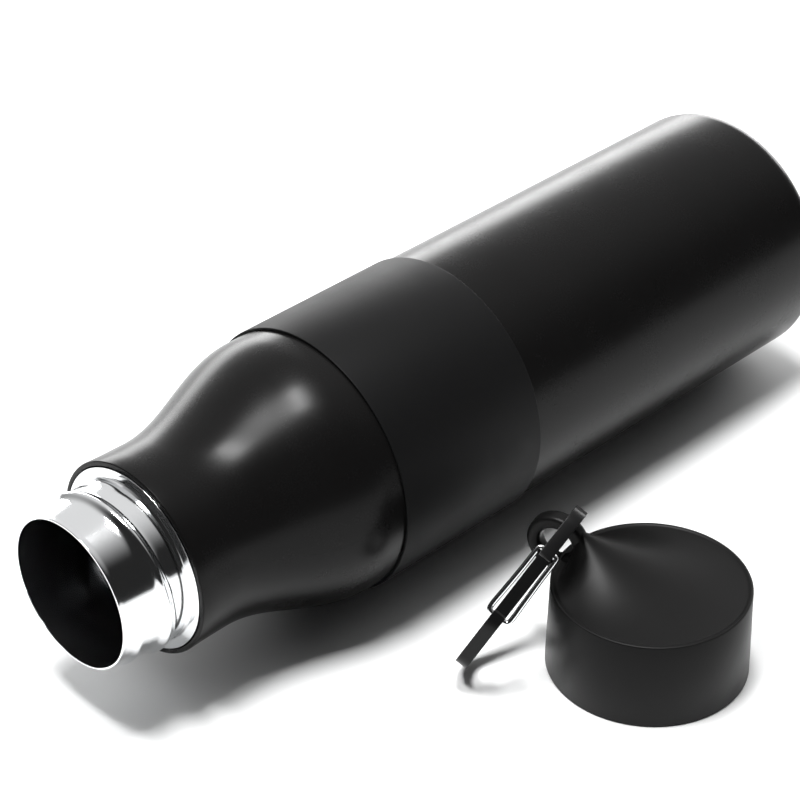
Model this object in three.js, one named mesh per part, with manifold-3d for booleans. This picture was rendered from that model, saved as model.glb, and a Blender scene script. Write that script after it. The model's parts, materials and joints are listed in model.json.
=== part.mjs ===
// A small insulated growler lying on its side: a double-wall steel bottle with a rubber grip
// sleeve, and its screw lid standing beside it with a snap hook through the lid's eye.
// Millimetres. X runs along the bottle from the mouth to the base, Z is up, and the origin is
// the middle of the base's flat face.
import * as THREE from 'three';
import { mergeVertices } from 'three/addons/utils/BufferGeometryUtils.js';
import Module from 'manifold-3d';

const wasm = await Module();
wasm.setup();

// ---- driving dimensions ----
const GAP = 0.3;                 // between pieces that touch
const ROUND = 40;                // segments round the bottle and the lid

const BOTTLE_LENGTH = 272;
const BODY_R = 40;
const WALL = 0.8;
const COLLAR_START = 22;         // from the mouth to the black collar's edge
const COLLAR_R = 28.9;
const SHOULDER_START = 36;       // from the mouth, where the neck begins to flare
const SHOULDER_END = 81;         // from the mouth, where the body is full width
const BASE_CORNER_R = 6;

const MOUTH_R = 21.9;            // inside
const NECK_R = 22.5;             // outside at the mouth, between the threads
const NECK_END_R = 23.9;         // outside at the foot
const NECK_TAPER = 11;           // from the mouth to where it is full width
const THREAD_HEIGHT = 1.2;
const THREAD_PITCH = 8.8;
const THREAD_START = 5.0;        // from the mouth, at the side the lid stands on
const THREAD_TURNS = 1.75;
const FLANGE_R = 27.1;
const INNER_R = 35.4;            // inside of the inner vessel
const VACUUM_GAP = 3.0;
const INNER_DEPTH = 260;         // from the mouth to the inner bottom's inside
const NECK_SEAM = 31;            // from the mouth
const SHELL_SEAM = 100;          // from the mouth, under the sleeve
const VESSEL_SEAM = 82;          // from the mouth
const VESSEL_SHIFT = 0.7;        // of the inner shoulder, towards the base

const SLEEVE_START = 86.4;       // from the mouth
const SLEEVE_END = 140.3;
const SLEEVE_R = 40.8;
const SLEEVE_WALL = 0.5;

const LID_R = 28.0;              // at the top
const LID_RIM_R = 28.6;          // at the open rim
const LID_HEIGHT = 27.3;
const LID_WALL = 1.1;
const LID_TOP_THICK = 2.4;
const LID_X = -145.2;
const LID_Y = -95.2;
const EYE_TURN = THREE.MathUtils.degToRad(107.4);   // from +X to the side that the eye is on

const HORN_HEIGHT = 10.6;        // of the swept top where it meets the eye
const HORN_PEAK = 22.2;          // from the lid's axis to that place
const HORN_FOOT_R = 27.2;        // the circle that the sweep starts from
const HORN_HOLLOW = 2.1;         // 1 is a straight-sided cone
const EYE_CENTRE_OUT = 28.6;     // from the lid's axis
const EYE_CENTRE_UP = 4.6;       // above the lid's top
const EYE_R = 8.9;
const EYE_HOLE_R = 5.0;
const EYE_THICK = 5.0;
const EYE_SOFT_R = 1.6;

const HOOK_TURN = THREE.MathUtils.degToRad(27.5);   // round the eye from its top
const HOOK_LEAN = THREE.MathUtils.degToRad(39.5);   // from the eye's plane
const HOOK_THICK = 3.8;
const HOOK_BAR = 3.0;
const HOOK_LENGTH = 54.2;
const HOOK_WIDTH = 24;
const HOOK_CORNER_R = 2.9;       // inside, round the eye's rim
const GATE_PIVOT_DROP = 8.2;     // below the eye's rim
const GATE_LENGTH = 22.4;
const GATE_WIRE_R = 0.7;

const FLOOR = -SLEEVE_R;
const RIM_CENTRE_R = (EYE_R + EYE_HOLE_R) / 2;

// ---- materials ----
function material(color, roughness, metalness) {
  return new THREE.MeshStandardMaterial({ color, roughness, metalness });
}
const blackCoat = () => material(0x17181a, 0.5, 0.2);
const steel = () => material(0xc9cbcc, 0.15, 1.0);
const rubber = () => material(0x1b1c1e, 0.85, 0.0);
const blackPlastic = () => material(0x222326, 0.55, 0.0);

// ---- helpers ----
// Shares the vertices, drops empty triangles and turns the faces outwards.
function closed(geometry) {
  const bare = geometry.clone();
  bare.deleteAttribute('normal');
  bare.deleteAttribute('uv');
  const merged = mergeVertices(bare, 1e-4);
  const pos = merged.getAttribute('position');
  const index = merged.getIndex().array;
  const kept = [];
  let volume = 0;
  const a = new THREE.Vector3();
  const b = new THREE.Vector3();
  const c = new THREE.Vector3();
  for (let i = 0; i < index.length; i += 3) {
    const [p, q, r] = [index[i], index[i + 1], index[i + 2]];
    if (p === q || q === r || r === p) continue;
    kept.push(p, q, r);
    a.fromBufferAttribute(pos, p);
    b.fromBufferAttribute(pos, q);
    c.fromBufferAttribute(pos, r);
    volume += a.dot(b.cross(c));
  }
  if (volume < 0) {
    for (let i = 0; i < kept.length; i += 3) [kept[i + 1], kept[i + 2]] = [kept[i + 2], kept[i + 1]];
  }
  merged.setIndex(kept);
  return merged;
}

function solid(geometry) {
  const merged = closed(geometry);
  return new wasm.Manifold(new wasm.Mesh({
    numProp: 3,
    vertProperties: Float32Array.from(merged.getAttribute('position').array),
    triVerts: Uint32Array.from(merged.getIndex().array),
  }));
}

function geometryOf(manifold) {
  const mesh = manifold.getMesh();
  const geometry = new THREE.BufferGeometry();
  geometry.setAttribute('position', new THREE.Float32BufferAttribute(mesh.vertProperties, 3));
  geometry.setIndex(Array.from(mesh.triVerts));
  geometry.computeVertexNormals();
  return geometry;
}

// Turns a closed outline of [radius, height] round the local Y axis.
function turned(outline, segments = ROUND) {
  const points = outline.map(([r, y]) => new THREE.Vector2(Math.max(r, 0), y));
  if (outline[0][0] > 0) points.push(points[0].clone());
  return new THREE.LatheGeometry(points, segments);
}

// Points on an arc of the outline, angles in degrees from the radius direction.
function arc(cr, cy, r, from, to, steps) {
  const out = [];
  for (let i = 0; i <= steps; i++) {
    const t = THREE.MathUtils.degToRad(from + (to - from) * i / steps);
    out.push([cr + r * Math.cos(t), cy + r * Math.sin(t)]);
  }
  return out;
}

function named(name, geometry, look) {
  const mesh = new THREE.Mesh(geometry, look);
  mesh.name = name;
  return mesh;
}

// ---- the bottle, drawn along Y from the mouth (y = 0) to the base ----
// The shoulder is an S-curve from the collar's radius to the body's.
function shoulderRadius(s, start, end, fromR, toR) {
  const t = THREE.MathUtils.clamp((s - start) / (end - start), 0, 1);
  const eased = t * t * (3 - 2 * t);
  const late = Math.pow(t, 1.18);
  const lateEased = late * late * (3 - 2 * late);
  return fromR + (toR - fromR) * (0.45 * eased + 0.55 * lateEased);
}

function shoulder(fromR, toR, steps, shift = 0) {
  const out = [];
  for (let i = 0; i <= steps; i++) {
    const s = SHOULDER_START + (SHOULDER_END - SHOULDER_START) * i / steps;
    out.push([shoulderRadius(s, SHOULDER_START, SHOULDER_END, fromR, toR), s + shift]);
  }
  return out;
}

function shoulderShell() {
  const seam = SHELL_SEAM - GAP / 2;
  return turned([
    [FLANGE_R + GAP, COLLAR_START],
    ...arc(COLLAR_R - 0.6, COLLAR_START + 0.6, 0.6, -90, 0, 2),
    [COLLAR_R - 0.25, COLLAR_START + 6],
    ...shoulder(COLLAR_R - 0.35, BODY_R, 9),
    [BODY_R, seam], [BODY_R - WALL, seam],
    ...shoulder(COLLAR_R - 0.35 - WALL, BODY_R - WALL, 5).reverse(),
    [FLANGE_R + GAP + 0.5, COLLAR_START + 3],
  ]);
}

function bodyShell() {
  const corner = BASE_CORNER_R;
  const L = BOTTLE_LENGTH;
  const seam = SHELL_SEAM + GAP / 2;
  return turned([
    [BODY_R - WALL, seam], [BODY_R, seam],
    ...arc(BODY_R - corner, L - corner, corner, 0, 90, 4),
    [BODY_R - corner - 4, L], [BODY_R - corner - 4, L - WALL],
    ...arc(BODY_R - corner, L - corner, corner - WALL, 90, 0, 3),
  ]);
}

function neckRadius(s) {
  return NECK_R + (NECK_END_R - NECK_R) * THREE.MathUtils.clamp((s - 1.5) / NECK_TAPER, 0, 1);
}

// Lifts a rolled thread out of a turned wall: one right-handed helix that fades in and out.
function rollThread(geometry, isOnNeck, side) {
  const pos = geometry.getAttribute('position');
  for (let i = 0; i < pos.count; i++) {
    const [x, y, z] = [pos.getX(i), pos.getY(i), pos.getZ(i)];
    const r = Math.hypot(x, z);
    if (!isOnNeck(r, y)) continue;
    const turn = (Math.atan2(x, z) / (2 * Math.PI) + 0.75) % 1;
    let lift = 0;
    for (let k = -1; k <= 2; k++) {
      const along = (turn + k) / THREAD_TURNS;
      if (along < 0 || along > 1) continue;
      const crest = THREAD_START + THREAD_PITCH * (turn + k);
      const fade = Math.min(1, Math.min(along, 1 - along) * 9);
      lift = Math.max(lift, fade * Math.exp(-Math.pow((y - crest) / 1.45, 2)));
    }
    const f = (r + side * THREAD_HEIGHT * lift) / r;
    pos.setXYZ(i, x * f, y, z * f);
  }
  return geometry;
}

function threadedNeck() {
  const neckSteps = 12;
  const neckFoot = COLLAR_START - 1.2;
  const seam = NECK_SEAM - GAP / 2;
  const outside = [...arc((MOUTH_R + NECK_R) / 2, 0.35, 0.35, 180, 360, 2)];
  for (let i = 1; i <= neckSteps; i++) {
    const s = 0.35 + (neckFoot - 0.35) * i / neckSteps;
    outside.push([neckRadius(s), s]);
  }
  outside.push([NECK_END_R + 0.9, COLLAR_START - 0.5]);
  outside.push([FLANGE_R, COLLAR_START - 0.2]);
  outside.push([FLANGE_R, COLLAR_START + 0.6]);
  outside.push([MOUTH_R + 1.2, COLLAR_START + 2.4]);
  outside.push([MOUTH_R + 1.2, seam]);
  const geometry = turned([...outside, [MOUTH_R, seam]]);
  return rollThread(geometry, (r, y) => r > MOUTH_R + 0.5 && y > 1 && y < COLLAR_START - 1, 1);
}

function innerShoulder() {
  const wallOuter = INNER_R + WALL;
  const seam = VESSEL_SEAM - GAP / 2;
  return turned([
    [MOUTH_R, NECK_SEAM + GAP / 2], [MOUTH_R + 1.2, NECK_SEAM + GAP / 2],
    ...shoulder(MOUTH_R + 1.2, wallOuter, 6, VESSEL_SHIFT), [wallOuter, seam],
    [INNER_R, seam], ...shoulder(MOUTH_R + 0.1, INNER_R, 6, VESSEL_SHIFT).reverse(),
  ]);
}

function innerWall() {
  const from = VESSEL_SEAM + GAP / 2;
  const to = INNER_DEPTH - 14;
  const r = INNER_R + WALL;
  return turned([[INNER_R, from], [r, from], [r, to], [INNER_R, to]]);
}

function innerBottom() {
  const wallOuter = INNER_R + WALL;
  const top = INNER_DEPTH - 14 + GAP;
  const corner = 10;
  const y = INNER_DEPTH;
  return turned([
    [0, y], ...arc(INNER_R - corner, y - corner, corner, 90, 0, 3), [INNER_R, top], [wallOuter, top],
    ...arc(INNER_R - corner, y - corner, corner + WALL, 0, 90, 3), [0, y + WALL],
  ]);
}

function foilWrap() {
  const r = INNER_R + WALL + GAP;
  const from = SHOULDER_END + 8;
  const to = INNER_DEPTH - 16;
  return turned([[r, from], [r + 0.4, from], [r + 0.4, to], [r, to]], 32);
}

function getterCup() {
  const y = INNER_DEPTH + WALL + GAP;
  return turned([[0, y], [5, y], [5, y + 2.2], [4.3, y + 2.2], [4.3, y + 0.6], [0, y + 0.6]], 24);
}

function getterPellet() {
  const y = INNER_DEPTH + WALL + GAP + 0.6 + GAP;
  return turned([[0, y], [3.9, y], [3.9, y + 1.2], [0, y + 1.2]], 24);
}

function outerBottom() {
  const y = BOTTLE_LENGTH - WALL - GAP;
  const r = BODY_R - BASE_CORNER_R + 0.6;
  const hole = 1.2;
  return turned([[hole, y - 2.6], [12, y - 2.6], [14, y - 1.0], [r, y - 1.0], [r, y], [13.4, y],
    [11.4, y - 1.6], [hole, y - 1.6]], 40);
}

function sealPlug() {
  const y = BOTTLE_LENGTH - WALL - GAP;
  return turned([[0, y - 2.2], [0.9, y - 2.2], [0.9, y - 1.6 + GAP], [3, y - 1.6 + GAP],
    [3, y - 0.7], [0, y - 0.7]], 20);
}

function baseCap() {
  const r = BODY_R - BASE_CORNER_R - 4 - GAP;
  const y = BOTTLE_LENGTH;
  return turned([[0, y - WALL], [r, y - WALL], [r, y - 0.3], [r - 0.3, y], [0, y]], 40);
}

function gripSleeve() {
  const r = BODY_R + GAP;
  const soft = 0.25;
  return turned([
    [r, SLEEVE_START], [SLEEVE_R - soft, SLEEVE_START], [SLEEVE_R, SLEEVE_START + soft],
    [SLEEVE_R, SLEEVE_END - soft], [SLEEVE_R - soft, SLEEVE_END], [r, SLEEVE_END],
  ]);
}

const bottle = new THREE.Group();
bottle.rotation.z = -Math.PI / 2;
bottle.position.x = -BOTTLE_LENGTH;
bottle.add(named('shoulder_shell', closed(shoulderShell()), blackCoat()));
bottle.add(named('body_shell', closed(bodyShell()), blackCoat()));
bottle.add(named('threaded_neck', closed(threadedNeck()), steel()));
bottle.add(named('inner_shoulder', closed(innerShoulder()), steel()));
bottle.add(named('inner_wall', closed(innerWall()), steel()));
bottle.add(named('inner_bottom', closed(innerBottom()), steel()));
bottle.add(named('foil_wrap', closed(foilWrap()), material(0xb87348, 0.35, 1)));
bottle.add(named('getter_cup', closed(getterCup()), steel()));
bottle.add(named('getter_pellet', closed(getterPellet()), material(0x6f7074, 0.9, 0.3)));
bottle.add(named('outer_bottom', closed(outerBottom()), steel()));
bottle.add(named('seal_plug', closed(sealPlug()), material(0xa9a9a2, 0.4, 0.9)));
bottle.add(named('base_cap', closed(baseCap()), rubber()));
bottle.add(named('grip_sleeve', closed(gripSleeve()), rubber()));

// ---- the lid, standing on its open rim: Z up, +X towards the eye ----
// The swept top: a hollow-sided cone that spreads from the eye to the whole of the rim.
function hornHeight(x, y) {
  const away = Math.hypot(x - HORN_PEAK, y);
  if (away < 1e-6) return HORN_HEIGHT;
  const inward = -HORN_PEAK * (x - HORN_PEAK) / away;
  const full = inward + Math.sqrt(inward * inward + HORN_FOOT_R ** 2 - HORN_PEAK ** 2);
  const past = THREE.MathUtils.clamp((x - HORN_PEAK) / 2.6, 0, 1);
  const left = Math.max(0, 1 - away / full);
  return HORN_HEIGHT * Math.pow(left, HORN_HOLLOW) * (1 - 0.9 * past * past * (3 - 2 * past));
}

// A disc whose top follows the horn, as a grid of rings.
function sweptTop() {
  const rings = 9;
  const spokes = ROUND;
  const bottom = LID_HEIGHT - LID_TOP_THICK;
  const points = [];
  const index = [];
  points.push(0, 0, LID_HEIGHT + hornHeight(0, 0) - 0.6);
  for (let i = 1; i <= rings; i++) {
    const r = LID_R * Math.sin((Math.PI / 2) * i / rings);
    for (let k = 0; k < spokes; k++) {
      const t = 2 * Math.PI * k / spokes;
      const [x, y] = [r * Math.cos(t), r * Math.sin(t)];
      const dish = 0.6 * Math.pow(Math.max(0, 1 - r / LID_R), 0.35);
      points.push(x, y, LID_HEIGHT - dish + hornHeight(x, y));
    }
  }
  for (let k = 0; k < spokes; k++) {
    const t = 2 * Math.PI * k / spokes;
    points.push(LID_R * Math.cos(t), LID_R * Math.sin(t), bottom);
  }
  const last = points.length / 3;
  points.push(0, 0, bottom);
  const ring = (i, k) => 1 + (i - 1) * spokes + (k % spokes);
  for (let k = 0; k < spokes; k++) {
    index.push(0, ring(1, k), ring(1, k + 1));
    for (let i = 1; i <= rings; i++) {
      index.push(ring(i, k), ring(i + 1, k), ring(i + 1, k + 1));
      index.push(ring(i, k), ring(i + 1, k + 1), ring(i, k + 1));
    }
    index.push(last, ring(rings + 1, k + 1), ring(rings + 1, k));
  }
  const geometry = new THREE.BufferGeometry();
  geometry.setAttribute('position', new THREE.Float32BufferAttribute(points, 3));
  geometry.setIndex(index);
  return geometry;
}

// The eye's ring stands in the XZ plane.
function eyeRing() {
  const h = EYE_THICK / 2;
  const soft = EYE_SOFT_R;
  const outline = [
    ...arc(EYE_R - soft, h - soft, soft, 0, 90, 2),
    ...arc(EYE_HOLE_R + soft, h - soft, soft, 90, 180, 2),
    ...arc(EYE_HOLE_R + soft, soft - h, soft, 180, 270, 2),
    ...arc(EYE_R - soft, soft - h, soft, 270, 360, 2),
  ];
  return turned(outline, 28).translate(EYE_CENTRE_OUT, 0, LID_HEIGHT + EYE_CENTRE_UP);
}

function lidShell() {
  const under = LID_HEIGHT - LID_TOP_THICK;
  const cup = solid(turned([
    [LID_RIM_R - LID_WALL, 0.4], [LID_RIM_R - LID_WALL + 0.4, 0], [LID_RIM_R - 0.4, 0], [LID_RIM_R, 0.4],
    [LID_R, under + 0.2], [0, under + 0.2], [0, under - 0.01], [LID_R - LID_WALL, under - 0.01],
  ]).rotateX(Math.PI / 2));
  const hollow = solid(new THREE.CylinderGeometry(LID_R - LID_WALL + 0.1, LID_R - LID_WALL + 0.1, 40, ROUND)
    .rotateX(Math.PI / 2).translate(0, 0, under + 0.1 - 20));
  const ring = solid(eyeRing()).subtract(hollow);
  return geometryOf(cup.add(solid(sweptTop())).add(ring));
}

function lidLiner() {
  const r = LID_R - LID_WALL - GAP;
  const bore = 25.6;
  const ceiling = LID_HEIGHT - LID_TOP_THICK - 4.2;
  const steps = 9;
  const wall = [];
  for (let i = 0; i <= steps; i++) wall.push([bore, 1.2 + (ceiling - 1.2 - 2) * i / steps]);
  const geometry = turned([
    [bore + 0.4, 0.8], [r, 0.8], [r, LID_HEIGHT - LID_TOP_THICK - GAP],
    [r - 0.9, LID_HEIGHT - LID_TOP_THICK - GAP], [r - 0.9, ceiling + 1.2], [0, ceiling + 1.2],
    [0, ceiling], [bore, ceiling], ...wall.reverse(),
  ]);
  geometry.rotateX(Math.PI).translate(0, COLLAR_START + 0.6, 0);
  rollThread(geometry, (q, y) => Math.abs(q - bore) < 0.05 && y > 4 && y < COLLAR_START - 1, -0.75);
  return geometry.translate(0, -COLLAR_START - 0.6, 0).rotateX(-Math.PI);
}

function lidFoam() {
  const ceiling = LID_HEIGHT - LID_TOP_THICK - 4.2 + 1.2 + GAP;
  const r = LID_R - LID_WALL - GAP - 0.9 - GAP;
  const top = LID_HEIGHT - LID_TOP_THICK - GAP;
  return turned([[0, ceiling], [r, ceiling], [r, top], [0, top]]);
}

function lidGasket() {
  const ceiling = LID_HEIGHT - LID_TOP_THICK - 4.2 - GAP;
  return turned([
    [MOUTH_R - 3, ceiling - 1.8], [MOUTH_R - 2.2, ceiling - 2.2], [24.2, ceiling - 2.2],
    [24.8, ceiling - 1.6], [24.8, ceiling], [MOUTH_R - 3, ceiling],
  ]);
}

const lid = new THREE.Group();
lid.position.set(LID_X, LID_Y, FLOOR);
lid.rotation.z = EYE_TURN;
const standing = (name, geometry, look) => {
  const mesh = named(name, closed(geometry), look);
  mesh.rotation.x = Math.PI / 2;
  return mesh;
};
lid.add(named('lid_shell', closed(lidShell()), blackPlastic()));
lid.add(standing('lid_liner', lidLiner(), blackPlastic()));
lid.add(standing('lid_foam', lidFoam(), material(0xe6e2d8, 0.9, 0)));
lid.add(standing('lid_gasket', lidGasket(), material(0x8d8f91, 0.6, 0)));

// ---- the snap hook, drawn in its own XY plane round the eye's rim (0, 0), long way down ----
// A convex outline whose corners are [x, y, radius], anticlockwise.
function roundedShape(corners) {
  const shape = new THREE.Shape();
  const n = corners.length;
  corners.forEach(([x, y, r], i) => {
    const here = new THREE.Vector2(x, y);
    const before = new THREE.Vector2(...corners[(i + n - 1) % n].slice(0, 2)).sub(here).normalize();
    const after = new THREE.Vector2(...corners[(i + 1) % n].slice(0, 2)).sub(here).normalize();
    const half = Math.acos(THREE.MathUtils.clamp(before.dot(after), -1, 1)) / 2;
    const centre = before.clone().add(after).normalize().multiplyScalar(r / Math.sin(half)).add(here);
    const start = before.multiplyScalar(r / Math.tan(half)).add(here);
    const end = after.multiplyScalar(r / Math.tan(half)).add(here);
    const angle = (p) => Math.atan2(p.y - centre.y, p.x - centre.x);
    if (i === 0) shape.moveTo(start.x, start.y);
    else shape.lineTo(start.x, start.y);
    shape.absarc(centre.x, centre.y, r, angle(start), angle(end), false);
  });
  shape.closePath();
  return shape;
}

// The same outline moved inwards.
function inset(corners, by) {
  const n = corners.length;
  const edges = corners.map(([x, y], i) => {
    const [x2, y2] = corners[(i + 1) % n];
    const along = new THREE.Vector2(x2 - x, y2 - y).normalize();
    return { point: new THREE.Vector2(x - along.y * by, y + along.x * by), along };
  });
  return corners.map(([, , r], i) => {
    const a = edges[(i + n - 1) % n];
    const b = edges[i];
    const t = b.point.clone().sub(a.point).cross(b.along) / a.along.cross(b.along);
    return [a.point.x + a.along.x * t, a.point.y + a.along.y * t, Math.max(r - by, 0.3)];
  });
}

function plate(shape, thick, curveSegments = 5) {
  return new THREE.ExtrudeGeometry(shape, { depth: thick, bevelEnabled: false, curveSegments })
    .translate(0, 0, -thick / 2);
}

const hookTop = HOOK_CORNER_R + HOOK_BAR;
const hookBottom = hookTop - HOOK_LENGTH;
const hookFar = hookTop - HOOK_WIDTH;
const gatePivot = new THREE.Vector2(hookFar + 1.75, -GATE_PIVOT_DROP);
const noseY = gatePivot.y - GATE_LENGTH;
const hookCorners = [
  [hookTop, hookTop, hookTop],
  [hookFar + 4, hookTop, 6.5],
  [hookFar - 0.3, -10, 9],
  [hookFar + 1.2, noseY - 3, 9],
  [hookTop - 14, hookBottom, 6.2],
  [hookTop, hookBottom, 6.2],
];

function hookBody() {
  const outer = solid(plate(roundedShape(hookCorners), HOOK_THICK));
  const inner = solid(plate(roundedShape(inset(hookCorners, HOOK_BAR)), HOOK_THICK + 2));
  const opening = solid(new THREE.BoxGeometry(12, GATE_LENGTH - 0.4, HOOK_THICK + 2)
    .translate(gatePivot.x, (gatePivot.y - 1.9 + noseY + 1.7) / 2 , 0));
  const pivotHole = solid(new THREE.CylinderGeometry(1.05, 1.05, HOOK_THICK + 2, 14).rotateX(Math.PI / 2)
    .translate(gatePivot.x, gatePivot.y, 0));
  const notch = solid(new THREE.BoxGeometry(2.1, 2.1, HOOK_THICK + 2)
    .translate(gatePivot.x + 1.55, noseY, 0));
  return geometryOf(outer.subtract(inner).subtract(opening).subtract(pivotHole).subtract(notch));
}

// One wire: out of one side of the pivot hole, down, across the nose and up to the other side.
function gateWire() {
  const [px, py] = [gatePivot.x, gatePivot.y];
  const nx = px + 1.35;
  const out = HOOK_THICK / 2 + GAP + GATE_WIRE_R;
  const wide = out + 0.5;
  const half = [
    [px, py, 0.5], [px, py, out - 1.0], [px + 0.02, py - 0.25, out - 0.25], [px + 0.06, py - 1.1, out],
    [px + 0.5, py - GATE_LENGTH * 0.35, out + 0.1], [px + 1.0, py - GATE_LENGTH * 0.7, out + 0.35],
    [nx, noseY + 1.6, wide], [nx, noseY + 0.35, wide - 0.35], [nx, noseY, wide - 1.3], [nx, noseY, 0.9],
  ];
  const points = [...half, ...half.map(([x, y, z]) => [x, y, -z]).reverse()];
  const path = new THREE.CatmullRomCurve3(points.map((p) => new THREE.Vector3(...p)), false, 'centripetal');
  const section = new THREE.Shape();
  section.absarc(0, 0, GATE_WIRE_R, 0, 2 * Math.PI, false);
  return new THREE.ExtrudeGeometry(section, { steps: 44, extrudePath: path, curveSegments: 3 });
}

const hook = new THREE.Group();
const rimOut = new THREE.Vector3(-Math.sin(HOOK_TURN), 0, Math.cos(HOOK_TURN));
const side = new THREE.Vector3(0, 1, 0);
const down = rimOut.clone().multiplyScalar(-Math.cos(HOOK_LEAN)).addScaledVector(side, Math.sin(HOOK_LEAN));
const across = rimOut.clone().multiplyScalar(-Math.sin(HOOK_LEAN)).addScaledVector(side, -Math.cos(HOOK_LEAN));
const through = new THREE.Vector3().crossVectors(down, across);
const stance = new THREE.Matrix4().makeBasis(across, down.clone().negate(), through);
stance.setPosition(rimOut.clone().multiplyScalar(RIM_CENTRE_R)
  .add(new THREE.Vector3(EYE_CENTRE_OUT, 0, LID_HEIGHT + EYE_CENTRE_UP)));
hook.applyMatrix4(stance);
hook.add(named('hook_body', closed(hookBody()), blackCoat()));
hook.add(named('gate_wire', closed(gateWire()), steel()));
lid.add(hook);

const growler = new THREE.Group();
growler.add(bottle, lid);
export default growler;
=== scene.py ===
# A small insulated growler lying on its side, with its screw lid and snap hook beside it.
# Lengths are written in millimetres and made metres by MM.
import bpy
import bmesh
import json
import math
from mathutils import Matrix, Vector


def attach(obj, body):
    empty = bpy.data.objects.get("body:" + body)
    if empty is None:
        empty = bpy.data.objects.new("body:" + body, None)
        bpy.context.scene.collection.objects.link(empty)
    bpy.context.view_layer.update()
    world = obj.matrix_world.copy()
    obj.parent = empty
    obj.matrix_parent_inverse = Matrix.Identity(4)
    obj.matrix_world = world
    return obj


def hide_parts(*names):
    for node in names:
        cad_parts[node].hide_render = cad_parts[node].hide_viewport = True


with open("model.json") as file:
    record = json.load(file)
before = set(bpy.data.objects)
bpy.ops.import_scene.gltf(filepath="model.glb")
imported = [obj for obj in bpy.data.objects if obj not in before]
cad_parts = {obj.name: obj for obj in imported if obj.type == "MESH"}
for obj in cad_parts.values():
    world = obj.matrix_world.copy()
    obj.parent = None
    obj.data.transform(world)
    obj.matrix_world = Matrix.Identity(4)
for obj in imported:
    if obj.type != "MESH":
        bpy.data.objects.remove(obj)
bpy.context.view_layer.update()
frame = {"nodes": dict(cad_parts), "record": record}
MM = 0.001

# ---- the object's sizes ----
LENGTH = 272.0
BODY_R = 40.0
COLLAR_START = 22.0
COLLAR_R = 28.9
SHOULDER_START = 36.0
SHOULDER_END = 81.0
BASE_CORNER_R = 6.0
WALL = 0.8
GAP = 0.3                        # between neighbouring pieces
MOUTH_R = 21.9
NECK_R = 22.5
NECK_END_R = 23.9
NECK_TAPER = 11.0
NECK_WALL = 1.2
NECK_SEAM = 31.0
SHELL_SEAM = 100.0
VESSEL_SEAM = 82.0
VESSEL_SHIFT = 0.7
INNER_R = 35.4
INNER_DEPTH = 260.0
BOWL_CORNER_R = 10.0             # of the inner bottom
BOWL_RISE = 14.0
FLANGE_R = 27.1
SLEEVE = (86.4, 140.3)
SLEEVE_R = 40.8
LID_R = 28.0
LID_RIM_R = 28.6
LID_HEIGHT = 27.3
LINER_BORE_R = 25.6
LINER_WALL = 0.9
LID_AT = Vector((-145.2, -95.2, -40.8))
EYE_TURN = math.radians(107.4)
EYE_OUT = 28.6
EYE_UP = 4.6
EYE_R = 8.9
EYE_HOLE_R = 5.0
EYE_THICK = 5.0
HORN_HEIGHT = 10.6
HORN_PEAK = 22.2
HORN_REACH = 27.2
HORN_HOLLOW = 2.1
HOOK_TURN = math.radians(27.5)
HOOK_LEAN = math.radians(39.5)
HOOK_THICK = 3.8
HOOK_BAR = 3.0
HOOK_TOP = 5.9
HOOK_FAR = -18.1
HOOK_BOTTOM = -48.3
PIVOT = (-16.35, -8.2)
GATE_LENGTH = 22.4
WIRE_R = 0.8

# The rolled thread of the neck and of the lid's liner.
THREAD_START = 5.0
THREAD_PITCH = 8.8
THREAD_TURNS = 1.75
THREAD_WIDTH = 1.5
NECK_THREAD = {"Thread Height": 1.2, "Thread Radius": 23.2, "Thread Reach": 0.85}
LINER_THREAD = {"Thread Height": -0.95, "Thread Start": 3.4, "Thread Radius": LINER_BORE_R,
                "Thread Reach": 0.05}

# From the lid's own axes (Z up, +X to the eye) to the object's.
LID_PLACE = Matrix.Translation(LID_AT) @ Matrix.Rotation(EYE_TURN, 4, "Z")


def hook_place():
    """From the hook's own plane (Y up its spine) to the object's axes."""
    rim_out = Vector((-math.sin(HOOK_TURN), 0, math.cos(HOOK_TURN)))
    side = Vector((0, 1, 0))
    down = -rim_out * math.cos(HOOK_LEAN) + side * math.sin(HOOK_LEAN)
    across = -rim_out * math.sin(HOOK_LEAN) - side * math.cos(HOOK_LEAN)
    through = down.cross(across)
    at = Vector((EYE_OUT, 0, LID_HEIGHT + EYE_UP)) + rim_out * (EYE_R + EYE_HOLE_R) / 2
    turn = Matrix((across, -down, through)).transposed().to_4x4()
    return LID_PLACE @ Matrix.Translation(at) @ turn


HOOK_PLACE = hook_place()


# ---- small node-building helpers ----
class Wiring:
    """Adds nodes to a tree and links them, so that a formula reads as a formula."""

    def __init__(self, tree):
        self.tree = tree

    def node(self, kind, **settings):
        made = self.tree.nodes.new(kind)
        for key, value in settings.items():
            setattr(made, key, value)
        return made

    def put(self, value, socket):
        if hasattr(value, "is_output"):
            self.tree.links.new(value, socket)
        else:
            socket.default_value = value

    def math(self, operation, *values):
        made = self.node("ShaderNodeMath", operation=operation)
        for value, socket in zip(values, made.inputs):
            self.put(value, socket)
        return made.outputs[0]


def tree_with(name, sockets):
    tree = bpy.data.node_groups.new(name, "GeometryNodeTree")
    tree.interface.new_socket(name="Geometry", in_out="INPUT", socket_type="NodeSocketGeometry")
    tree.interface.new_socket(name="Geometry", in_out="OUTPUT", socket_type="NodeSocketGeometry")
    for label, kind in sockets:
        tree.interface.new_socket(name=label, in_out="INPUT", socket_type="NodeSocket" + kind)
    return tree


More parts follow.
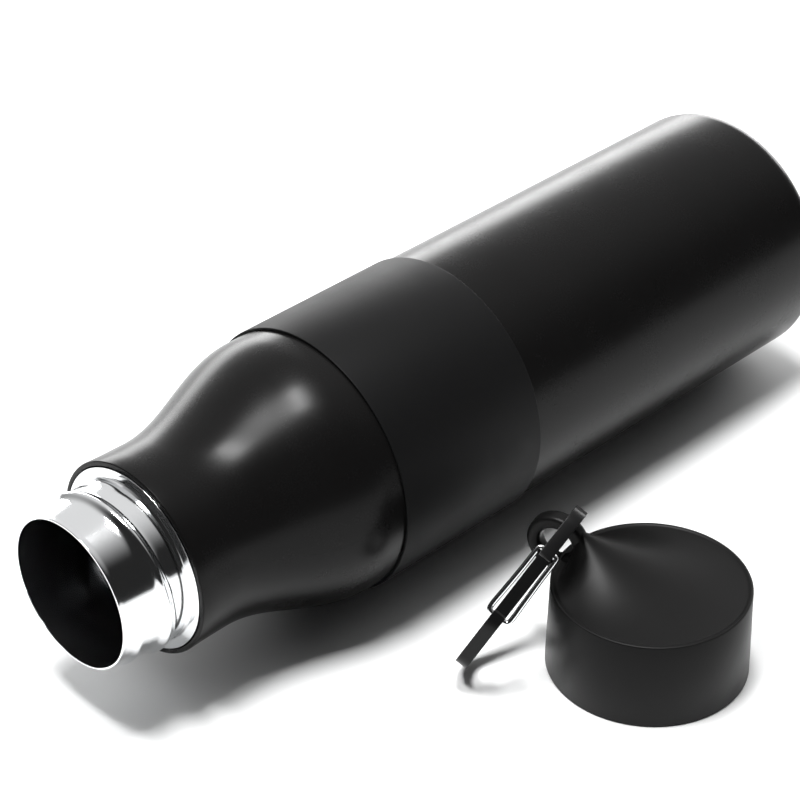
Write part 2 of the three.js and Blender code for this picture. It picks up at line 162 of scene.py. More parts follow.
def finish_tree(w, geometry, given):
    """Every tree ends the same way: smooth, realized and painted."""
    smooth = w.node("GeometryNodeSetShadeSmooth")
    real = w.node("GeometryNodeRealizeInstances")
    paint = w.node("GeometryNodeSetMaterial")
    out = w.node("NodeGroupOutput")
    w.put(geometry, smooth.inputs["Geometry"])
    w.put(smooth.outputs[0], real.inputs["Geometry"])
    w.put(real.outputs[0], paint.inputs["Geometry"])
    w.put(given["Material"], paint.inputs["Material"])
    w.put(paint.outputs[0], out.inputs[0])


def turned_tree():
    """Turns an outline of (distance along the axis, radius) into a piece, with a rolled thread."""
    tree = tree_with("Turned piece", [
        ("Segments", "Int"), ("Thread Height", "Float"), ("Thread Pitch", "Float"),
        ("Thread Start", "Float"), ("Thread Turns", "Float"), ("Thread Width", "Float"),
        ("Thread Radius", "Float"), ("Thread Reach", "Float"), ("Material", "Material"),
    ])
    w = Wiring(tree)
    given = w.node("NodeGroupInput").outputs
    size = w.node("GeometryNodeAttributeDomainSize", component="MESH")
    w.put(given["Geometry"], size.inputs["Geometry"])
    around = w.math("ADD", given["Segments"], 1.0)
    grid = w.node("GeometryNodeMeshGrid")
    w.put(size.outputs["Point Count"], grid.inputs["Vertices X"])
    w.put(around, grid.inputs["Vertices Y"])
    index = w.node("GeometryNodeInputIndex").outputs[0]
    row = w.math("FLOOR", w.math("DIVIDE", w.math("ADD", index, 0.5), around))
    column = w.math("SUBTRACT", index, w.math("MULTIPLY", row, around))
    sample = w.node("GeometryNodeSampleIndex", data_type="FLOAT_VECTOR", domain="POINT")
    w.put(given["Geometry"], sample.inputs["Geometry"])
    w.put(w.node("GeometryNodeInputPosition").outputs[0], sample.inputs["Value"])
    w.put(row, sample.inputs["Index"])
    split = w.node("ShaderNodeSeparateXYZ")
    w.put(sample.outputs[0], split.inputs[0])
    along, radius = split.outputs[0], split.outputs[1]
    turn = w.math("DIVIDE", column, given["Segments"])
    lift = 0.0
    for k in range(3):
        travelled = w.math("ADD", turn, float(k))
        share = w.math("DIVIDE", travelled, given["Thread Turns"])
        ends = w.math("MINIMUM", share, w.math("SUBTRACT", 1.0, share))
        fade = w.math("MINIMUM", 1.0, w.math("MAXIMUM", 0.0, w.math("MULTIPLY", ends, 9.0)))
        crest = w.math("ADD", given["Thread Start"],
                       w.math("MULTIPLY", travelled, given["Thread Pitch"]))
        off = w.math("DIVIDE", w.math("SUBTRACT", along, crest), given["Thread Width"])
        bell = w.math("EXPONENT", w.math("MULTIPLY", w.math("MULTIPLY", off, off), -1.0))
        lift = w.math("MAXIMUM", lift, w.math("MULTIPLY", bell, fade))
    away = w.math("ABSOLUTE", w.math("SUBTRACT", radius, given["Thread Radius"]))
    on_wall = w.math("LESS_THAN", away, given["Thread Reach"])
    raised = w.math("MULTIPLY", w.math("MULTIPLY", lift, on_wall), given["Thread Height"])
    full = w.math("ADD", radius, raised)
    angle = w.math("MULTIPLY", turn, 2 * math.pi)
    place = w.node("ShaderNodeCombineXYZ")
    w.put(along, place.inputs[0])
    back = w.math("MULTIPLY", full, -1.0)
    w.put(w.math("MULTIPLY", back, w.math("COSINE", angle)), place.inputs[1])
    w.put(w.math("MULTIPLY", back, w.math("SINE", angle)), place.inputs[2])
    move = w.node("GeometryNodeSetPosition")
    w.put(grid.outputs[0], move.inputs["Geometry"])
    w.put(place.outputs[0], move.inputs["Position"])
    weld = w.node("GeometryNodeMergeByDistance")
    w.put(move.outputs[0], weld.inputs["Geometry"])
    weld.inputs["Distance"].default_value = 2e-6
    finish_tree(w, weld.outputs[0], given)
    return tree


def wire_tree():
    """Draws a round wire along a line of points."""
    tree = tree_with("Drawn wire", [
        ("Wire Radius", "Float"), ("Steps", "Int"), ("Sides", "Int"), ("Material", "Material"),
    ])
    w = Wiring(tree)
    given = w.node("NodeGroupInput").outputs
    line = w.node("GeometryNodeMeshToCurve")
    w.put(given["Geometry"], line.inputs[0])
    even = w.node("GeometryNodeResampleCurve")
    w.put(line.outputs[0], even.inputs["Curve"])
    w.put(given["Steps"], even.inputs["Count"])
    circle = w.node("GeometryNodeCurvePrimitiveCircle")
    w.put(given["Sides"], circle.inputs["Resolution"])
    w.put(given["Wire Radius"], circle.inputs["Radius"])
    sweep = w.node("GeometryNodeCurveToMesh")
    w.put(even.outputs[0], sweep.inputs["Curve"])
    w.put(circle.outputs[0], sweep.inputs["Profile Curve"])
    sweep.inputs["Fill Caps"].default_value = True
    finish_tree(w, sweep.outputs[0], given)
    return tree


# ---- materials ----
def look(name, colour, rough, metal=0.0, grain=1500.0, bump=0.00001, vary=0.2, stretch=(1, 1, 1),
         specular=0.5, marks=0.06):
    """A finish with colour drift, uneven sheen, fine grain and faint handling marks."""
    material = bpy.data.materials.new(name)
    material.use_nodes = True
    w = Wiring(material.node_tree)
    shader = material.node_tree.nodes["Principled BSDF"]
    coords = w.node("ShaderNodeTexCoord").outputs["Object"]
    stretched = w.node("ShaderNodeMapping")
    w.put(coords, stretched.inputs["Vector"])
    stretched.inputs["Scale"].default_value = stretch

    def noise(scale, detail, source):
        made = w.node("ShaderNodeTexNoise")
        w.put(source, made.inputs["Vector"])
        made.inputs["Scale"].default_value = scale
        made.inputs["Detail"].default_value = detail
        return made.outputs["Fac"]

    drift = noise(28.0, 3.0, coords)
    fine = noise(grain, 4.0, stretched.outputs[0])
    smudge = noise(90.0, 6.0, coords)
    mix = w.node("ShaderNodeMix", data_type="RGBA")
    w.put(drift, mix.inputs["Factor"])
    mix.inputs["A"].default_value = (*[c * (1 - vary) for c in colour], 1)
    mix.inputs["B"].default_value = (*[min(1, c * (1 + vary)) for c in colour], 1)
    w.put(mix.outputs["Result"], shader.inputs["Base Color"])
    sheen = w.math("ADD", rough - marks, w.math("MULTIPLY", smudge, 2 * marks))
    sheen = w.math("ADD", sheen, w.math("MULTIPLY", w.math("SUBTRACT", fine, 0.5), marks))
    w.put(sheen, shader.inputs["Roughness"])
    shader.inputs["Metallic"].default_value = metal
    shader.inputs["Specular IOR Level"].default_value = specular
    relief = w.node("ShaderNodeBump")
    relief.inputs["Strength"].default_value = 1.0
    relief.inputs["Distance"].default_value = bump
    w.put(fine, relief.inputs["Height"])
    w.put(relief.outputs[0], shader.inputs["Normal"])
    return material


LOOKS = {
    "black_coat": look("powder_coat", (0.0048, 0.0046, 0.0046), 0.26, grain=1700, bump=0.000006,
                       specular=0.12),
    "polished_steel": look("polished_steel", (0.86, 0.87, 0.88), 0.1, metal=1.0, vary=0.03,
                           grain=500, bump=0.000002, stretch=(6, 1, 1), marks=0.04),
    "copper_foil": look("copper_foil", (0.72, 0.38, 0.2), 0.25, metal=1.0, grain=300, bump=0.0001),
    "brushed_steel": look("brushed_steel", (0.6, 0.61, 0.62), 0.3, metal=1.0, grain=900,
                          bump=0.00001, stretch=(1, 8, 8)),
    "getter_metal": look("getter_metal", (0.25, 0.25, 0.26), 0.7, metal=0.6, grain=4000,
                         bump=0.00004),
    "seal_metal": look("seal_metal", (0.5, 0.5, 0.47), 0.35, metal=1.0, grain=1200, bump=0.00002),
    "base_rubber": look("base_rubber", (0.014, 0.014, 0.015), 0.75, grain=2500, bump=0.00003),
    "sleeve_rubber": look("sleeve_rubber", (0.0045, 0.0045, 0.0047), 0.52, grain=2300, bump=0.000012,
                          specular=0.1),
    "lid_plastic": look("lid_plastic", (0.0045, 0.0044, 0.0044), 0.38, grain=2600, bump=0.00001,
                        specular=0.13),
    "liner_plastic": look("liner_plastic", (0.02, 0.02, 0.022), 0.45, grain=1500, bump=0.00001),
    "foam": look("foam", (0.75, 0.73, 0.66), 0.9, grain=3000, bump=0.0002),
    "gasket": look("gasket", (0.3, 0.31, 0.32), 0.5, grain=1500, bump=0.00001),
    "hook_coat": look("hook_coat", (0.0045, 0.0045, 0.0047), 0.34, grain=3200, bump=0.00001,
                      specular=0.2),
    "wire_steel": look("wire_steel", (0.82, 0.83, 0.84), 0.12, metal=1.0, vary=0.04, grain=2000,
                       bump=0.000003, marks=0.03),
}


# ---- making pieces ----
TURNED = turned_tree()
WIRE = wire_tree()


def new_object(name, vertices, edges, faces):
    mesh = bpy.data.meshes.new(name)
    mesh.from_pydata([tuple(v) for v in vertices], edges, faces)
    made = bpy.data.objects.new(name, mesh)
    bpy.context.scene.collection.objects.link(made)
    return made


def settle(made):
    """Applies the modifiers to the mesh and leaves the object plain."""
    bpy.context.view_layer.update()
    graph = bpy.context.evaluated_depsgraph_get()
    mesh = bpy.data.meshes.new_from_object(made.evaluated_get(graph), depsgraph=graph)
    made.modifiers.clear()
    made.data = mesh
    return made


def grow(made, tree, **values):
    modifier = made.modifiers.new(tree.name, "NODES")
    modifier.node_group = tree
    for item in tree.interface.items_tree:
        if item.item_type == "SOCKET" and item.in_out == "INPUT" and item.name in values:
            modifier[item.identifier] = values[item.name]
    return settle(made)


def tidy_mesh(made, sharp=32.0, weld=1e-6):
    """Merges doubles, points the normals outwards and keeps the real edges crisp."""
    work = bmesh.new()
    work.from_mesh(made.data)
    bmesh.ops.remove_doubles(work, verts=work.verts, dist=weld)
    bmesh.ops.dissolve_degenerate(work, dist=weld / 10, edges=work.edges)
    bmesh.ops.recalc_face_normals(work, faces=work.faces)
    if work.calc_volume(signed=True) < 0:
        bmesh.ops.reverse_faces(work, faces=work.faces)
    for face in work.faces:
        face.smooth = True
    work.to_mesh(made.data)
    work.free()
    made.data.set_sharp_from_angle(angle=math.radians(sharp))
    return made


def hand_over(made, body, slot, *nodes, place=None):
    if place is not None:
        made.data.transform(place)
    if not made.data.materials:
        made.data.materials.append(LOOKS[slot])
    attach(made, body)
    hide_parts(*nodes)
    return made


def softened(points, radius=0.3, steps=3, closed=True):
    """The same outline with every corner rounded; a corner may carry its own radius."""
    points = [p if len(p) == 3 else (*p, radius) for p in points]
    count = len(points)
    out = []
    for i, (x, y, r) in enumerate(points):
        here = Vector((x, y))
        if not closed and i in (0, count - 1):
            out.append((x, y))
            continue
        a = Vector(points[i - 1][:2]) - here
        b = Vector(points[(i + 1) % count][:2]) - here
        if r <= 0 or a.length < 1e-6 or b.length < 1e-6 or a.angle(b) > math.radians(176):
            out.append((x, y))
            continue
        reach = min(r / math.tan(a.angle(b) / 2), a.length * 0.45, b.length * 0.45)
        start = here + a.normalized() * reach
        end = here + b.normalized() * reach
        for k in range(steps + 1):
            t = k / steps
            p = start * (1 - t) ** 2 + here * 2 * t * (1 - t) + end * t ** 2
            out.append((p.x, p.y))
    return out


def turned_piece(name, outline, slot, segments=160, closed=True, **thread):
    """outline is (distance from the mouth or height, radius) and thread holds lengths, all in mm."""
    points = [Vector((x, y, 0)) * MM for x, y in outline]
    if closed:
        points.append(points[0].copy())
    made = new_object(name, points, [(i, i + 1) for i in range(len(points) - 1)], [])
    lengths = {"Thread Height": 0.0, "Thread Pitch": THREAD_PITCH, "Thread Start": THREAD_START,
               "Thread Width": THREAD_WIDTH, "Thread Radius": 0.0, "Thread Reach": 0.0, **thread}
    values = {label: length * MM for label, length in lengths.items()}
    return tidy_mesh(grow(made, TURNED, **values, **{
        "Segments": segments, "Thread Turns": THREAD_TURNS, "Material": LOOKS[slot]}))


def scaled(place):
    """The same place with its shift in metres."""
    copy = place.copy()
    copy.translation *= MM
    return copy


BOTTLE_PLACE = Matrix.Translation((-LENGTH * MM, 0, 0))
# The lid's turned pieces run up Z from the rim it stands on.
UPRIGHT = scaled(LID_PLACE) @ Matrix.Rotation(-math.pi / 2, 4, "Y")


def shoulder_radius(s, start_r, end_r):
    t = min(1.0, max(0.0, (s - SHOULDER_START) / (SHOULDER_END - SHOULDER_START)))
    late = t ** 1.18
    eased = t * t * (3 - 2 * t)
    late = late * late * (3 - 2 * late)
    return start_r + (end_r - start_r) * (0.45 * eased + 0.55 * late)


def shoulder(start_r, end_r, steps, shift=0.0):
    span = SHOULDER_END - SHOULDER_START
    places = [SHOULDER_START + span * i / steps for i in range(steps + 1)]
    return [(s + shift, shoulder_radius(s, start_r, end_r), 0) for s in places]


def corner(s, r, radius, start, end, steps):
    angles = [math.radians(start + (end - start) * i / steps) for i in range(steps + 1)]
    return [(s + radius * math.sin(a), r + radius * math.cos(a), 0) for a in angles]


def bottle_piece(name, outline, slot, node, segments=128, closed=True, steps=3, **thread):
    rounded = softened(outline, steps=steps, closed=closed)
    hand_over(turned_piece(name, rounded, slot, segments, closed, **thread),
              "bottle", slot, node, place=BOTTLE_PLACE)


def bottle():
    inner = BASE_CORNER_R - WALL
    foot = LENGTH - BASE_CORNER_R
    flat_r = BODY_R - BASE_CORNER_R
    shell = [(COLLAR_START, FLANGE_R + GAP, 0.25), (COLLAR_START, COLLAR_R, 0.6)]
    shell += [(COLLAR_START + 6, COLLAR_R - 0.25, 0)]
    shell += shoulder(COLLAR_R - 0.35, BODY_R, 48)
    seam = SHELL_SEAM - GAP / 2
    shell += [(seam, BODY_R, 0.1), (seam, BODY_R - WALL, 0.1)]
    shell += shoulder(COLLAR_R - 0.35 - WALL, BODY_R - WALL, 24)[::-1]
    shell += [(COLLAR_START + 3, FLANGE_R + 0.8, 0)]
    bottle_piece("shoulder", shell, "black_coat", "shoulder_shell", 192)

    seam = SHELL_SEAM + GAP / 2
    shell = [(seam, BODY_R - WALL, 0.1), (seam, BODY_R, 0.1)]
    shell += [(s, BODY_R, 0) for s in (130, 160, 190, 220, 245)]
    shell += corner(foot, flat_r, BASE_CORNER_R, 0, 90, 12)
    shell += [(LENGTH, flat_r - 4, 0.2), (LENGTH - WALL, flat_r - 4, 0.1)]
    shell += corner(foot, flat_r, inner, 90, 0, 8)
    bottle_piece("body", shell, "black_coat", "body_shell", 192)

    neck = [(0.0, MOUTH_R, 0.3), (0.0, NECK_R, 0.3)]
    steps = 60
    for i in range(1, steps + 1):
        s = 0.4 + (COLLAR_START - 1.6) * i / steps
        share = min(1.0, max(0.0, (s - 1.5) / NECK_TAPER))
        neck.append((s, NECK_R + (NECK_END_R - NECK_R) * share, 0))
    neck += [(COLLAR_START - 0.5, NECK_END_R + 0.5, 0.4), (COLLAR_START - 0.2, FLANGE_R, 0.15),
             (COLLAR_START + 0.6, FLANGE_R, 0.1), (COLLAR_START + 2.4, MOUTH_R + NECK_WALL, 0),
             (NECK_SEAM - 0.02, MOUTH_R + NECK_WALL, 0.05), (NECK_SEAM - 0.02, MOUTH_R, 0.02)]
    bottle_piece("neck", neck, "polished_steel", "threaded_neck", 192, **NECK_THREAD)

    cone = [(NECK_SEAM, MOUTH_R, 0.02), (NECK_SEAM, MOUTH_R + NECK_WALL, 0.05)]
    cone += shoulder(MOUTH_R + NECK_WALL, INNER_R + WALL, 24, VESSEL_SHIFT)
    cone += [(VESSEL_SEAM - 0.02, INNER_R + WALL, 0.05), (VESSEL_SEAM - 0.02, INNER_R, 0.05)]
    cone += shoulder(MOUTH_R + 0.1, INNER_R, 32, VESSEL_SHIFT)[::-1]
    bottle_piece("vessel_shoulder", cone, "polished_steel", "inner_shoulder")

    tube = [(VESSEL_SEAM, INNER_R, 0.05), (VESSEL_SEAM, INNER_R + WALL, 0.05),
            (INNER_DEPTH - BOWL_RISE, INNER_R + WALL, 0.1), (INNER_DEPTH - BOWL_RISE, INNER_R, 0.1)]
    bottle_piece("vessel_wall", tube, "polished_steel", "inner_wall")

    top = INNER_DEPTH - BOWL_RISE + GAP
    bend = INNER_DEPTH - BOWL_CORNER_R, INNER_R - BOWL_CORNER_R
    bowl = [(INNER_DEPTH, 0, 0)] + corner(*bend, BOWL_CORNER_R, 90, 0, 12)
    bowl += [(top, INNER_R, 0.1), (top, INNER_R + WALL, 0.1)]
    bowl += corner(*bend, BOWL_CORNER_R + WALL, 0, 90, 12) + [(INNER_DEPTH + WALL, 0, 0)]
    bottle_piece("vessel_bottom", bowl, "polished_steel", "inner_bottom", closed=False)

    r = BODY_R + 0.12
    band = [(SLEEVE[0], r, 0.05), (SLEEVE[0], SLEEVE_R, 0.28), (SLEEVE[1], SLEEVE_R, 0.3),
            (SLEEVE[1], r, 0.05)]
    bottle_piece("rubber_sleeve", band, "sleeve_rubber", "grip_sleeve", 192, steps=4)

    edge = flat_r - 4.3
    cover = [(LENGTH - WALL, 0, 0), (LENGTH - WALL, edge, 0.1), (LENGTH, edge, 0.3),
             (LENGTH, edge - 3.0, 0.2), (LENGTH - 0.35, edge - 3.6, 0.2), (LENGTH - 0.35, 0, 0)]
    bottle_piece("base_cover", cover, "base_rubber", "base_cap", closed=False)


# ---- the lid ----
def eased(t):
    t = min(1.0, max(0.0, t))
    return t * t * (3 - 2 * t)


def horn(x, y):
    """Height of the hollow cone that spreads from the eye to the whole of the rim."""
    to_point = Vector((x - HORN_PEAK, y))
    away = to_point.length
    if away < 1e-6:
        return HORN_HEIGHT
    along = to_point / away
    inward = -along.x * HORN_PEAK
    full = inward + math.sqrt(inward * inward + HORN_REACH ** 2 - HORN_PEAK ** 2)
    left = max(0.0, 1 - away / full)
    past = 1 - 0.9 * eased((x - HORN_PEAK) / 2.6)
    return HORN_HEIGHT * left ** HORN_HOLLOW * past


def swept_top(rings=44, spokes=160):
    """The lid's top as rings of points that follow the horn, closed underneath."""
    bottom = LID_HEIGHT - 2.4
    dip = 0.3
    points = [(0, 0, LID_HEIGHT - dip + horn(0, 0))]
    reach = LID_R - 0.8
    for i in range(1, rings + 1):
        r = reach * (1 - (1 - i / rings) ** 1.25)
        for k in range(spokes):
            t = 2 * math.pi * k / spokes
            x, y = r * math.cos(t), r * math.sin(t)
            sunk = dip * (1 - eased((r - reach + 0.7) / 0.7))
            points.append((x, y, LID_HEIGHT - sunk + horn(x, y)))
    edge = ((LID_R - 0.5, LID_HEIGHT), (LID_R - 0.2, LID_HEIGHT - 0.12),
            (LID_R - 0.02, LID_HEIGHT - 0.45), (LID_RIM_R, 0.4), (LID_RIM_R - 0.15, 0.12),
            (LID_RIM_R - 0.5, 0.0), (LID_RIM_R - 0.9, 0.05), (LID_RIM_R - 1.1, 0.35),
            (LID_R - 1.1, bottom))
    for r, z in edge:
        for k in range(spokes):
            t = 2 * math.pi * k / spokes
            points.append((r * math.cos(t), r * math.sin(t), z))
    last = len(points)
    points.append((0, 0, bottom))
    layers = rings + len(edge)
    faces = []
    for k in range(spokes):
        n = (k + 1) % spokes
        faces.append((0, 1 + k, 1 + n))
        for i in range(layers - 1):
            a = 1 + i * spokes
            b = a + spokes
            faces.append((a + k, b + k, b + n, a + n))
        a = 1 + (layers - 1) * spokes
        faces.append((last, a + n, a + k))
    return new_object("swept_lid", [Vector(p) * MM for p in points], [], faces)


def eye_ring(name, outline, segments):
    ring = turned_piece(name, outline, "lid_plastic", segments, closed=outline[0][1] > 0)
    place = Matrix.Translation(Vector((EYE_OUT, 0, LID_HEIGHT + EYE_UP)) * MM)
    ring.data.transform(place @ Matrix.Rotation(math.pi / 2, 4, "Z"))
    return ring


def combine(made, other, operation):
    modifier = made.modifiers.new(operation, "BOOLEAN")
    modifier.operation = operation
    modifier.solver = "EXACT"
    modifier.object = other
    settle(made)
    bpy.data.objects.remove(other)
    return made


def lid():
    top = tidy_mesh(swept_top())
    h = EYE_THICK / 2
    section = [(-h, EYE_HOLE_R, 1.6), (-h, EYE_R, 1.6), (h, EYE_R, 1.6), (h, EYE_HOLE_R, 1.6)]
    eye = eye_ring("eye", softened(section, steps=7), 112)
    under = LID_HEIGHT - 2.3
    hollow_r = LID_R - 1.0
    hollow = [(-20, 0), (-20, hollow_r), (under, hollow_r), (under, 0)]
    inside = turned_piece("hollow_cutter", hollow, "lid_plastic", 96, closed=False)
    inside.data.transform(Matrix.Rotation(-math.pi / 2, 4, "Y"))
    combine(eye, inside, "DIFFERENCE")
    combine(top, eye, "UNION")
    tidy_mesh(top, 38)
    hand_over(top, "lid", "lid_plastic", "lid_shell", place=scaled(LID_PLACE))

    outer = LID_R - 1.4
    ceiling = LID_HEIGHT - 6.6
    wall = [(1.2 + (ceiling - 3.2) * i / 40, LINER_BORE_R, 0) for i in range(41)]
    crown = LID_HEIGHT - 2.7
    liner = [(0.8, outer, 0.3), (crown, outer, 0.1), (crown, outer - LINER_WALL, 0.1),
             (ceiling + 1.2, outer - LINER_WALL, 0.1), (ceiling + 1.2, 0, 0)]
    bore = [(ceiling, 0, 0), (ceiling, LINER_BORE_R, 0.2)] + wall[::-1]
    liner = bore + [(0.8, LINER_BORE_R + 0.4, 0.2)] + liner
    hand_over(turned_piece("threaded_liner", softened(liner, closed=False), "liner_plastic", 160,
                           closed=False,
                           **LINER_THREAD),
              "lid", "liner_plastic", "lid_liner", place=UPRIGHT)
    under = ceiling - GAP
    seal = [(under, 18.9, 0.2), (under, 24.8, 0.2), (under - 1.8, 24.8, 0.6),
            (under - 2.2, 22.0, 0.3), (under - 1.6, 20.6, 0.3), (under - 1.9, 18.9, 0.3)]
    hand_over(turned_piece("sealing_ring", softened(seal), "gasket", 128),
              "lid", "gasket", "lid_gasket", place=UPRIGHT)


# ---- the snap hook ----
def rounded_polygon(corners, steps=10):
    """corners are (x, y, radius), anticlockwise and convex."""
    out = []
    count = len(corners)
    for i, (x, y, r) in enumerate(corners):
        here = Vector((x, y))
        a = (Vector(corners[i - 1][:2]) - here).normalized()
        b = (Vector(corners[(i + 1) % count][:2]) - here).normalized()
        half = a.angle(b) / 2
        centre = here + (a + b).normalized() * r / math.sin(half)
        start = here + a * r / math.tan(half) - centre
        end = here + b * r / math.tan(half) - centre
        first = math.atan2(start.y, start.x)
        sweep = (math.atan2(end.y, end.x) - first) % (2 * math.pi)
        for k in range(steps + 1):
            t = first + sweep * k / steps
            out.append((centre.x + r * math.cos(t), centre.y + r * math.sin(t)))
    return out


def inset(corners, by):
    edges = []
    count = len(corners)
    for i, (x, y, _) in enumerate(corners):
        x2, y2, _ = corners[(i + 1) % count]
        along = Vector((x2 - x, y2 - y)).normalized()
        edges.append((Vector((x - along.y * by, y + along.x * by)), along))
    out = []
    for i, (_, _, r) in enumerate(corners):
        (p, u), (q, v) = edges[i - 1], edges[i]
        gap = q - p
        t = (gap.x * v.y - gap.y * v.x) / (u.x * v.y - u.y * v.x)
        out.append((p.x + u.x * t, p.y + u.y * t, max(r - by, 0.3)))
    return out


def hook():
    nose = PIVOT[1] - GATE_LENGTH
    corners = [(HOOK_TOP, HOOK_TOP, HOOK_TOP), (HOOK_FAR + 4, HOOK_TOP, 6.5),
               (HOOK_FAR - 0.3, -10, 9), (HOOK_FAR + 1.2, nose - 3, 9),
               (HOOK_TOP - 14, HOOK_BOTTOM, 6.2), (HOOK_TOP, HOOK_BOTTOM, 6.2)]
    outer = rounded_polygon(corners)
    inner = rounded_polygon(inset(corners, HOOK_BAR))
    upper, lower = PIVOT[1] - 1.9, nose + 1.5

    def on_gate_side(p):
        return p[0] < -10 and lower < p[1] < upper

    def opened(loop):
        """The loop as a line that starts below the gate's gap and ends above it."""
        count = len(loop)
        below = [p for p in loop if p[0] < -10 and p[1] <= lower]
        start = loop.index(max(below, key=lambda p: p[1]))
        line = [loop[(start + k) % count] for k in range(count)]
        return [p for p in line if not on_gate_side(p)]

    def at_height(x_low, x_high, y):
        return (x_low + (x_high - x_low) * (y + 10) / (nose - 3 + 10), y)

    out_x, in_x = HOOK_FAR - 0.3, HOOK_FAR - 0.3 + HOOK_BAR
    out_low, in_low = HOOK_FAR + 1.2, HOOK_FAR + 1.2 + HOOK_BAR
    line = opened(outer)
    back = opened(inner)[::-1]
    mouth_top = [at_height(out_x, out_low, upper + 0.4), at_height(out_x + 0.5, out_low + 0.5, upper),
                 at_height(in_x - 0.5, in_low - 0.5, upper), at_height(in_x, in_low, upper + 0.4)]
    mouth_low = [at_height(in_x, in_low, nose - 1.05),
                 (PIVOT[0] + 0.55, nose - 1.05), (PIVOT[0] + 0.5, nose + 0.9),
                 at_height(out_x + 0.9, out_low + 0.9, lower), at_height(out_x, out_low, lower - 0.5)]
    back = [p for p in back if not (p[0] < -10 and nose - 1.05 < p[1] < upper + 0.4)]
    line = [p for p in line if not (p[0] < -10 and lower - 0.5 < p[1] < upper + 0.4)]
    ring = line + mouth_top + back + mouth_low
    clean = [p for i, p in enumerate(ring) if (Vector(p) - Vector(ring[i - 1])).length > 0.02]
    half = HOOK_THICK / 2
    made = new_object("hook_plate", [Vector((x, y, -half)) * MM for x, y in clean], [],
                      [tuple(range(len(clean)))])
    work = bmesh.new()
    work.from_mesh(made.data)
    face = work.faces[:]
    grown = bmesh.ops.extrude_face_region(work, geom=face)
    moved = [g for g in grown["geom"] if isinstance(g, bmesh.types.BMVert)]
    bmesh.ops.translate(work, verts=moved, vec=(0, 0, HOOK_THICK * MM))
    bmesh.ops.recalc_face_normals(work, faces=work.faces)
    rims = [e for e in work.edges if abs(e.verts[0].co.z - e.verts[1].co.z) < 1e-6]
    bmesh.ops.bevel(work, geom=rims, offset=0.42 * MM, segments=3, profile=0.6, affect="EDGES",
                    clamp_overlap=True)
    work.to_mesh(made.data)
    work.free()
    hand_over(tidy_mesh(made, 40, 1e-7), "hook", "hook_coat", "hook_body", place=scaled(HOOK_PLACE))

    px, py = PIVOT
    out = HOOK_THICK / 2 + 0.2 + WIRE_R
    wide = out + 0.5
    nx = px + 1.35
    side = [(px, py, 0.5), (px, py, out - 1.0), (px + 0.02, py - 0.25, out - 0.25),
            (px + 0.06, py - 1.1, out), (px + 0.5, py - GATE_LENGTH * 0.35, out + 0.1),
            (px + 1.0, py - GATE_LENGTH * 0.7, out + 0.35), (nx, nose + 1.6, wide),
            (nx, nose + 0.35, wide - 0.35), (nx, nose, wide - 1.3), (nx, nose, 0.9)]
    whole = side + [(x, y, -z) for x, y, z in side[::-1]]
    path = smooth_line([Vector(p) * MM for p in whole], 8)
    wire = new_object("gate", path, [(i, i + 1) for i in range(len(path) - 1)], [])
    grow(wire, WIRE, **{"Wire Radius": WIRE_R * MM, "Steps": 220, "Sides": 20,
                        "Material": LOOKS["wire_steel"]})
    hand_over(tidy_mesh(wire, 50, 1e-7), "gate", "wire_steel", "gate_wire", place=scaled(HOOK_PLACE))


def smooth_line(points, steps):
    out = []
    for i in range(len(points) - 1):
        a = points[max(i - 1, 0)]
        b, c = points[i], points[i + 1]
        d = points[min(i + 2, len(points) - 1)]
        reach = (c - b).length / 3
        m1 = b + (c - a).normalized() * reach
        m2 = c - (d - b).normalized() * reach
        for k in range(steps):
            t = k / steps
            out.append(b * (1 - t) ** 3 + m1 * 3 * t * (1 - t) ** 2
                       + m2 * 3 * t * t * (1 - t) + c * t ** 3)
    out.append(points[-1])
    return out


# ---- the studio ----
AHEAD = Vector((0.7045, 0.7097, 0))
RIGHT = Vector((0.7097, -0.7045, 0))
TARGET = Vector((-0.1034, 0.0452, -0.0408))
CAMERA_AT = Vector((-0.6006, -0.4556, 0.4424))
LENS = 120.0
FLOOR_HALF = 4.0


def facing(made, point):
    made.rotation_mode = "QUATERNION"
    made.rotation_quaternion = (point - made.location).to_track_quat("-Z", "Y")


def softbox(name, at, size, radiance):
    data = bpy.data.lights.new(name, "AREA")
    data.shape = "RECTANGLE"
    data.size, data.size_y = size
    data.energy = radiance * math.pi * size[0] * size[1]
    light = bpy.data.objects.new(name, data)
    bpy.context.scene.collection.objects.link(light)
    light.location = at
    return light


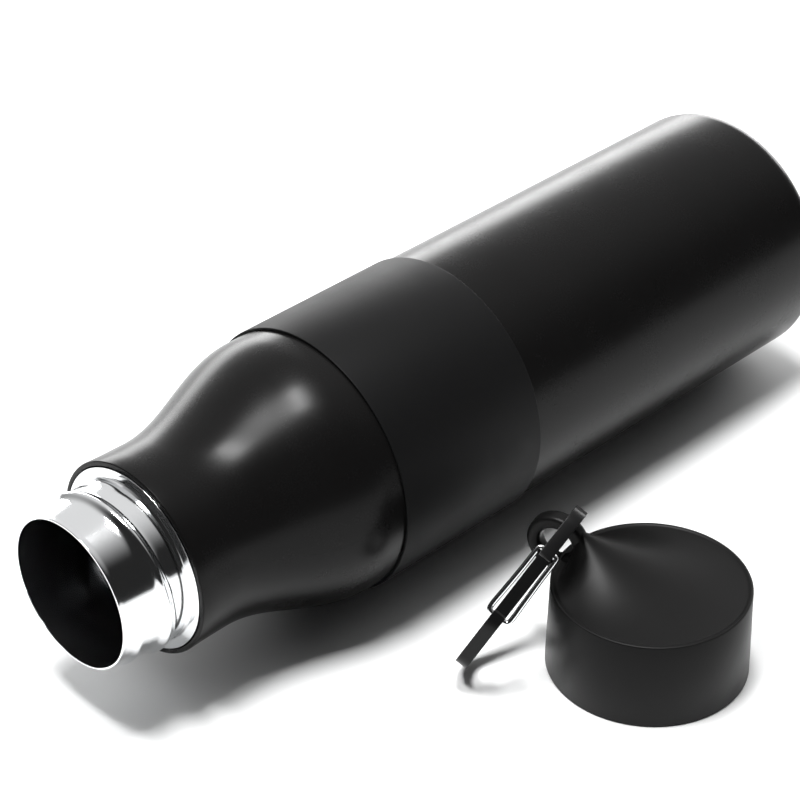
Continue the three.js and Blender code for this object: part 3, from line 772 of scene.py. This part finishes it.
def studio():
    ways = ((-1, -1), (1, -1), (1, 1), (-1, 1))
    corners = [(x * FLOOR_HALF, y * FLOOR_HALF, -SLEEVE_R * MM) for x, y in ways]
    floor = new_object("floor", corners, [], [(0, 1, 2, 3)])
    paper = bpy.data.materials.new("floor_paper")
    paper.use_nodes = True
    w = Wiring(paper.node_tree)
    shader = paper.node_tree.nodes["Principled BSDF"]
    shader.inputs["Base Color"].default_value = (0.93, 0.935, 0.935, 1)
    shader.inputs["Roughness"].default_value = 0.9
    shader.inputs["Specular IOR Level"].default_value = 0.1
    floor.data.materials.append(paper)

    world = bpy.data.worlds.new("studio")
    bpy.context.scene.world = world
    world.use_nodes = True
    w = Wiring(world.node_tree)
    sky = world.node_tree.nodes["Background"]
    toward = w.node("ShaderNodeVectorMath", operation="DOT_PRODUCT")
    w.put(w.node("ShaderNodeTexCoord").outputs["Generated"], toward.inputs[0])
    toward.inputs[1].default_value = AHEAD * 0.76 + Vector((0, 0, 0.65))
    rise = w.node("ShaderNodeMapRange", interpolation_type="SMOOTHSTEP")
    w.put(toward.outputs["Value"], rise.inputs["Value"])
    for label, value in (("From Min", 0.2), ("From Max", 0.95), ("To Min", 0.02), ("To Max", 0.8)):
        rise.inputs[label].default_value = value
    sky.inputs["Color"].default_value = (1, 1, 1, 1)
    w.put(rise.outputs["Result"], sky.inputs["Strength"])

    facing(softbox("back_wall", TARGET + AHEAD * 1.6 + Vector((0, 0, 0.2)), (3.0, 0.6), 7.0), TARGET)
    # Two lamps shine straight down, each long across the row that they stand in.
    over = TARGET - AHEAD * 0.22 + Vector((0, 0, 1.4))
    row = RIGHT * 0.35 + AHEAD * 0.18
    lamps = (("overhead_left", RIGHT * -0.34 - AHEAD * 0.05),
             ("overhead_right", RIGHT * 0.02 + AHEAD * 0.14))
    for name, shift in lamps:
        lamp = softbox(name, over + shift, (0.19, 0.46), 56.0)
        lamp.rotation_euler = (0, 0, math.atan2(row.y, row.x))

    data = bpy.data.cameras.new("camera")
    data.lens = LENS
    data.sensor_width = 36.0
    data.clip_start = 0.05
    camera = bpy.data.objects.new("camera", data)
    bpy.context.scene.collection.objects.link(camera)
    camera.location = CAMERA_AT
    facing(camera, TARGET)
    bpy.context.scene.camera = camera
    bpy.context.scene.view_settings.view_transform = "Standard"


def inner_parts():
    """The sealed-in pieces keep their CAD shape and get their finishes."""
    for row in frame["record"]["subparts"]:
        node = frame["nodes"][row["node"]]
        node.data.materials.clear()
        node.data.materials.append(LOOKS[row["material_slot"]])


inner_parts()
bottle()
lid()
hook()
studio()
bpy.context.view_layer.update()
